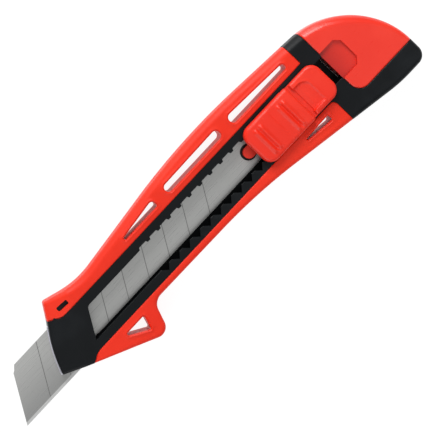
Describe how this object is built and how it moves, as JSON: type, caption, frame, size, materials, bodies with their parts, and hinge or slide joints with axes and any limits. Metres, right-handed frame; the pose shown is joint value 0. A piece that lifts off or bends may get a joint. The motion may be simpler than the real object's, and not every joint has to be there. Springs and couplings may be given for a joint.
{
  "type": "utility knife",
  "caption": "Snap-off utility knife with a red and black slotted handle, finger guard, sliding lock, spare-blade channel and pull-off end cap",
  "frame": {"origin": "on the flat back face, on the centre line of the blade channel, near the middle of the handle", "axes": "+X to the tail and end cap, so the blade points along -X; +Y to the spine, so the cutting edge faces -Y; +Z out of the slider face"},
  "size_m": [0.1894, 0.0409, 0.0164],
  "materials": {
    "black_shell": "fine moulded grain, satin",
    "black_plastic": "satin",
    "red_grip": "soft satin skin with fine grain",
    "red_plastic": "satin moulded plastic",
    "blade_steel": "ground and polished along the blade",
    "guide_steel": "stamped sheet",
    "spring_steel": "blued leaf",
    "screw_steel": "zinc plated",
    "blackened_steel": "black oxide"
  },
  "bodies": {
    "root": {"front_shell": "black_shell", "back_shell": "black_shell", "front_upper_grip": "red_grip", "front_lower_grip": "red_grip", "back_upper_grip": "red_grip", "back_lower_grip": "red_grip", "blade_guide": "guide_steel", "nose_guide": "guide_steel", "magazine_spring": "spring_steel", "magazine_plate": "blackened_steel", "spare_blade_1": "blade_steel", "spare_blade_2": "blade_steel", "shell_screws": "screw_steel"},
    "slider": {"blade": "blade_steel", "blade_carrier": "red_plastic", "slider_base": "red_plastic", "slider_screws": "screw_steel", "lock_spring": "spring_steel", "pad_springs": "spring_steel"},
    "thumb_pad": {"thumb_pad": "red_plastic"},
    "end_cap": {"end_cap": "red_plastic", "cap_latch": "black_plastic", "cap_pin": "screw_steel"}
  },
  "joints": [
    {"name": "slider_travel", "type": "slide", "parent": "root", "child": "slider", "axis": [-1, 0, 0], "range_m": [-0.0284, 0.05775], "deforming": ["lock_spring"]},
    {"name": "thumb_pad_release", "type": "slide", "parent": "slider", "child": "thumb_pad", "axis": [-1, 0, 0], "range_m": [-0.0009, 0.0009], "stiffness_N_per_m": 400, "deforming": ["pad_springs"]},
    {"name": "end_cap_pull", "type": "slide", "parent": "root", "child": "end_cap", "axis": [1, 0, 0], "range_m": [0, 0.025]}
  ]
}
